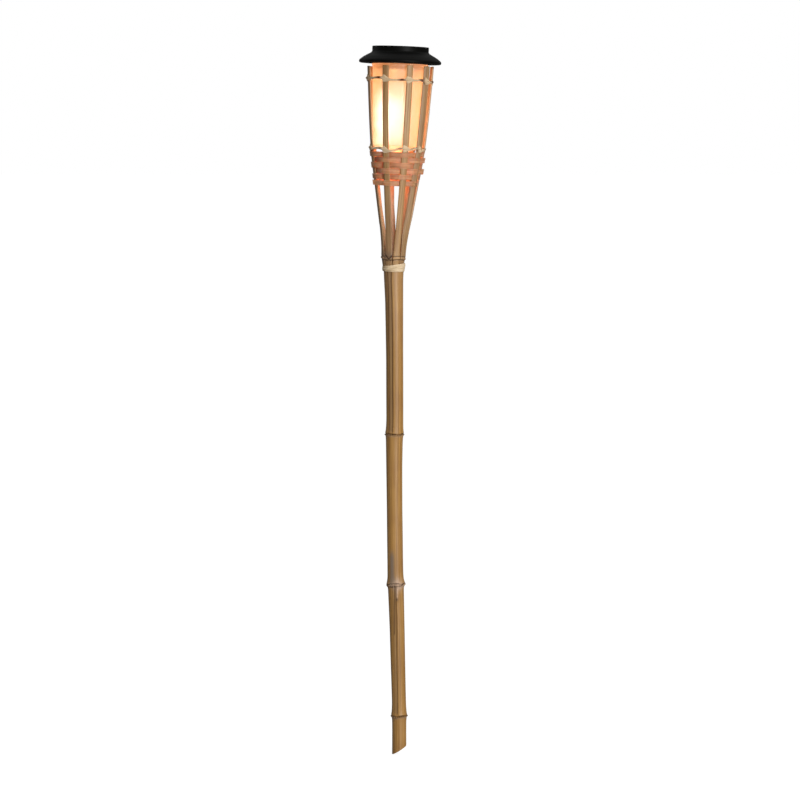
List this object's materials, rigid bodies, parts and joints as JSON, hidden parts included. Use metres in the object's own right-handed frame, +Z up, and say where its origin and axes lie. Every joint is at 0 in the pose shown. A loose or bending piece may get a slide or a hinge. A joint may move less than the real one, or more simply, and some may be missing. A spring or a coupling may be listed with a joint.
{
  "type": "tiki torch",
  "caption": "Solar garden torch: a bamboo cane split into a flared, woven basket that holds a frosted lantern under a round solar cap; the lantern and cap lift off.",
  "frame": {"origin": "on the axis of the round stake, at the middle of its true cylinder", "axes": "+Z up the stake, +X to the right and -Y towards the front of the torch"},
  "size_m": [0.1144, 0.1144, 0.9999],
  "materials": {
    "bamboo_culm": "waxy natural cane skin, lightly varnished",
    "split_bamboo": "cane skin outside, split pith inside",
    "rattan_strip": "flat woven strip, dull",
    "tie_fibre": "dry natural fibre",
    "frosted_plastic": "frosted, translucent, lit from inside",
    "black_abs": "moulded, satin",
    "seal_rubber": "soft foam",
    "solar_cell": "dark cell under clear resin",
    "zinc_steel": "zinc plated",
    "battery_jacket": "plain shrink sleeve",
    "nickel_steel": "nickel plated spring steel",
    "board_laminate": "solder mask",
    "led_epoxy": "clear epoxy",
    "switch_steel": "pressed can",
    "red_pvc": "wire insulation",
    "black_pvc": "wire insulation",
    "white_knob": "moulded"
  },
  "bodies": {
    "pole": {"culm": "bamboo_culm", "stave_1": "split_bamboo", "stave_2": "split_bamboo", "stave_3": "split_bamboo", "stave_4": "split_bamboo", "stave_5": "split_bamboo", "stave_6": "split_bamboo", "stave_7": "split_bamboo", "stave_8": "split_bamboo", "weave_strip_1": "rattan_strip", "weave_strip_2": "rattan_strip", "weave_strip_3": "rattan_strip", "weave_strip_4": "rattan_strip", "weave_strip_5": "rattan_strip", "weave_strip_6": "rattan_strip", "lower_tie_strand_a": "tie_fibre", "lower_tie_strand_b": "tie_fibre", "upper_tie_strand_a": "tie_fibre", "upper_tie_strand_b": "tie_fibre", "neck_binding": "tie_fibre"},
    "lantern": {"diffuser": "frosted_plastic"},
    "cap": {"cap_shell": "black_abs", "rim_gasket": "seal_rubber", "panel_seal": "seal_rubber", "solar_panel": "solar_cell", "base_plate": "black_abs", "base_screws": "zinc_steel", "battery_bay": "black_abs", "battery": "battery_jacket", "battery_contact": "nickel_steel", "battery_spring": "nickel_steel", "circuit_board": "board_laminate", "led": "led_epoxy", "switch_case": "switch_steel", "panel_wire_red": "red_pvc", "panel_wire_black": "black_pvc", "battery_wire_red": "red_pvc", "battery_wire_black": "black_pvc"},
    "battery_door": {"battery_door": "black_abs"},
    "switch": {"switch_knob": "white_knob"}
  },
  "joints": [
    {"name": "lantern_lift", "type": "slide", "parent": "pole", "child": "lantern", "axis": [0.0349, 0, 0.9994], "range_m": [0, 0.16]},
    {"name": "cap_lift", "type": "slide", "parent": "lantern", "child": "cap", "axis": [0.0349, 0, 0.9994], "range_m": [0, 0.06]},
    {"name": "battery_door_hinge", "type": "hinge", "parent": "cap", "child": "battery_door", "pos_m": [0.0009, 0.0034, 0.93534], "axis": [-0.9994, 0, 0.0349], "range_deg": [0, 95]},
    {"name": "power_switch", "type": "slide", "parent": "cap", "child": "switch", "axis": [0.9994, 0, -0.0349], "range_m": [0, 0.003]}
  ]
}
